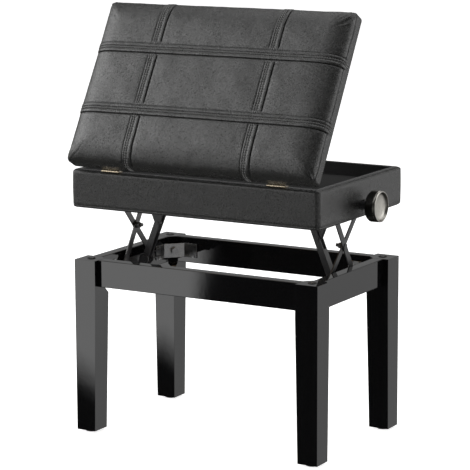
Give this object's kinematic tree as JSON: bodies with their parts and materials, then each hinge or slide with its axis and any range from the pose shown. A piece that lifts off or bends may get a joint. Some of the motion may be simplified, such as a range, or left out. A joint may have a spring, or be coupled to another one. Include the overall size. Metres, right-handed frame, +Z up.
{
  "type": "adjustable piano bench",
  "caption": "Height-adjustable piano bench: padded lid hinged over a storage box that a screw spindle and scissor arms raise on a black wooden base.",
  "frame": {"origin": "on the floor, at the middle of the whole object with its lid open, 18 mm in front of the middle of the four feet", "axes": "+X along the length towards the right knob, +Y to the back, away from the lid hinges, +Z up"},
  "size_m": [0.646, 0.3842, 0.8668],
  "materials": {
    "black_lacquer": "high gloss black lacquer",
    "black_leather": "black synthetic leather with a soft sheen",
    "black_steel": "satin black powder coat",
    "zinc_steel": "bright zinc plate",
    "brass": "polished brass plate",
    "gunmetal": "dark pewter plate, knurled grip",
    "plywood": "bare plywood",
    "dark_lining": "charcoal non-woven cloth",
    "black_nylon": "matte black nylon"
  },
  "bodies": {
    "base_frame": {"leg_front_left": "black_lacquer", "leg_front_right": "black_lacquer", "leg_back_left": "black_lacquer", "leg_back_right": "black_lacquer", "front_rail": "black_lacquer", "back_rail": "black_lacquer", "left_rail": "black_lacquer", "right_rail": "black_lacquer", "corner_plates": "zinc_steel", "leg_bolts": "zinc_steel", "plate_screws": "zinc_steel", "foot_glides": "black_nylon", "leg_bumpers": "black_nylon", "bumper_screws": "zinc_steel", "base_bracket_left": "black_steel", "base_bracket_right": "black_steel", "scissor_base_guide_left": "black_steel", "scissor_base_guide_right": "black_steel", "base_pivot_pins": "black_steel", "base_screws": "black_steel"},
    "seat_box": {"box_front_board": "plywood", "box_back_board": "plywood", "box_left_board": "plywood", "box_right_board": "plywood", "storage_floor": "plywood", "floor_lining": "dark_lining", "floor_cleats": "plywood", "box_cover": "black_leather", "box_bracket_left": "black_steel", "box_bracket_right": "black_steel", "scissor_top_guide_left": "black_steel", "scissor_top_guide_right": "black_steel", "spindle_bearings": "black_nylon", "stay_track": "zinc_steel", "box_hinge_leaves": "brass"},
    "lid": {"lid_board": "plywood", "lid_lining": "dark_lining", "seat_cushion": "black_leather", "lid_hinge_leaves": "brass", "hinge_pins": "brass", "stay_bracket": "zinc_steel", "hinge_screws": "brass"},
    "lid_stay": {"stay_arm": "zinc_steel"},
    "spindle": {"spindle": "zinc_steel", "spindle_collars": "zinc_steel", "knob_left": "gunmetal", "knob_right": "gunmetal"},
    "nut_left": {"spindle_nut_left": "zinc_steel"},
    "drive_arm_left": {"drive_arm_left": "black_steel"},
    "lift_link_left": {"lift_link_left": "black_steel"},
    "scissor_bolt_left": {"scissor_bolt_left": "black_steel"},
    "scissor_outer_left": {"scissor_outer_left": "black_steel"},
    "scissor_inner_left": {"scissor_inner_left": "black_steel"},
    "nut_right": {"spindle_nut_right": "zinc_steel"},
    "drive_arm_right": {"drive_arm_right": "black_steel"},
    "lift_link_right": {"lift_link_right": "black_steel"},
    "scissor_bolt_right": {"scissor_bolt_right": "black_steel"},
    "scissor_outer_right": {"scissor_outer_right": "black_steel"},
    "scissor_inner_right": {"scissor_inner_right": "black_steel"}
  },
  "joints": [
    {"name": "seat_lift", "type": "slide", "parent": "base_frame", "child": "seat_box", "axis": [0, 0, 1], "range_m": [-0.1, 0]},
    {"name": "lid_hinge", "type": "hinge", "parent": "seat_box", "child": "lid", "pos_m": [0, -0.15539, 0.541], "axis": [1, 0, 0], "range_deg": [-60, 0]},
    {"name": "stay_pivot", "type": "hinge", "parent": "lid", "child": "lid_stay", "pos_m": [-0.2554, -0.06853, 0.65944], "axis": [1, 0, 0], "range_deg": [0, 113.17]},
    {"name": "spindle_turn", "type": "hinge", "parent": "seat_box", "child": "spindle", "pos_m": [0, 0.01811, 0.4865], "axis": [1, 0, 0], "range_deg": [-5644.08, 0]},
    {"name": "nut_right_slide", "type": "slide", "parent": "seat_box", "child": "nut_right", "axis": [1, 0, 0], "range_m": [-0.09407, 0]},
    {"name": "drive_arm_right_pivot", "type": "hinge", "parent": "base_frame", "child": "drive_arm_right", "pos_m": [0.216, 0.01811, 0.3345], "axis": [0, 1, 0], "range_deg": [-49.52, 0]},
    {"name": "lift_link_right_pivot", "type": "hinge", "parent": "drive_arm_right", "child": "lift_link_right", "pos_m": [0.18529, 0.01811, 0.4105], "axis": [0, 1, 0], "range_deg": [0, 99.02]},
    {"name": "scissor_right_bolt_slide", "type": "slide", "parent": "base_frame", "child": "scissor_bolt_right", "axis": [0.0906, 0, 0.9959], "range_m": [-0.05022, 0]},
    {"name": "scissor_right_outer_pivot", "type": "hinge", "parent": "scissor_bolt_right", "child": "scissor_outer_right", "pos_m": [0.24284, 0.01811, 0.4015], "axis": [0.9959, 0, -0.0906], "range_deg": [0, 37.95]},
    {"name": "scissor_right_inner_pivot", "type": "hinge", "parent": "scissor_bolt_right", "child": "scissor_inner_right", "pos_m": [0.24284, 0.01811, 0.4015], "axis": [0.9959, 0, -0.0906], "range_deg": [-37.95, 0]},
    {"name": "nut_left_slide", "type": "slide", "parent": "seat_box", "child": "nut_left", "axis": [1, 0, 0], "range_m": [0, 0.09407]},
    {"name": "drive_arm_left_pivot", "type": "hinge", "parent": "base_frame", "child": "drive_arm_left", "pos_m": [-0.216, 0.01811, 0.3345], "axis": [0, 1, 0], "range_deg": [0, 49.52]},
    {"name": "lift_link_left_pivot", "type": "hinge", "parent": "drive_arm_left", "child": "lift_link_left", "pos_m": [-0.18529, 0.01811, 0.4105], "axis": [0, 1, 0], "range_deg": [-99.02, 0]},
    {"name": "scissor_left_bolt_slide", "type": "slide", "parent": "base_frame", "child": "scissor_bolt_left", "axis": [-0.0906, 0, 0.9959], "range_m": [-0.05022, 0]},
    {"name": "scissor_left_outer_pivot", "type": "hinge", "parent": "scissor_bolt_left", "child": "scissor_outer_left", "pos_m": [-0.24284, 0.01811, 0.4015], "axis": [0.9959, 0, 0.0906], "range_deg": [0, 37.95]},
    {"name": "scissor_left_inner_pivot", "type": "hinge", "parent": "scissor_bolt_left", "child": "scissor_inner_left", "pos_m": [-0.24284, 0.01811, 0.4015], "axis": [0.9959, 0, 0.0906], "range_deg": [-37.95, 0]}
  ],
  "couplings": [
    {"joint": "stay_pivot", "follows": "lid_hinge", "ratio": -1.886},
    {"joint": "spindle_turn", "follows": "seat_lift", "rad_per_m": 984.99},
    {"joint": "nut_right_slide", "follows": "seat_lift", "ratio": 0.9406},
    {"joint": "drive_arm_right_pivot", "follows": "seat_lift", "rad_per_m": 8.6405},
    {"joint": "lift_link_right_pivot", "follows": "seat_lift", "rad_per_m": -17.281},
    {"joint": "scissor_right_bolt_slide", "follows": "seat_lift", "ratio": 0.50207},
    {"joint": "scissor_right_outer_pivot", "follows": "seat_lift", "rad_per_m": -6.6226},
    {"joint": "scissor_right_inner_pivot", "follows": "seat_lift", "rad_per_m": 6.6226},
    {"joint": "nut_left_slide", "follows": "seat_lift", "ratio": -0.9406},
    {"joint": "drive_arm_left_pivot", "follows": "seat_lift", "rad_per_m": -8.6405},
    {"joint": "lift_link_left_pivot", "follows": "seat_lift", "rad_per_m": 17.281},
    {"joint": "scissor_left_bolt_slide", "follows": "seat_lift", "ratio": 0.50207},
    {"joint": "scissor_left_outer_pivot", "follows": "seat_lift", "rad_per_m": -6.6226},
    {"joint": "scissor_left_inner_pivot", "follows": "seat_lift", "rad_per_m": 6.6226}
  ]
}
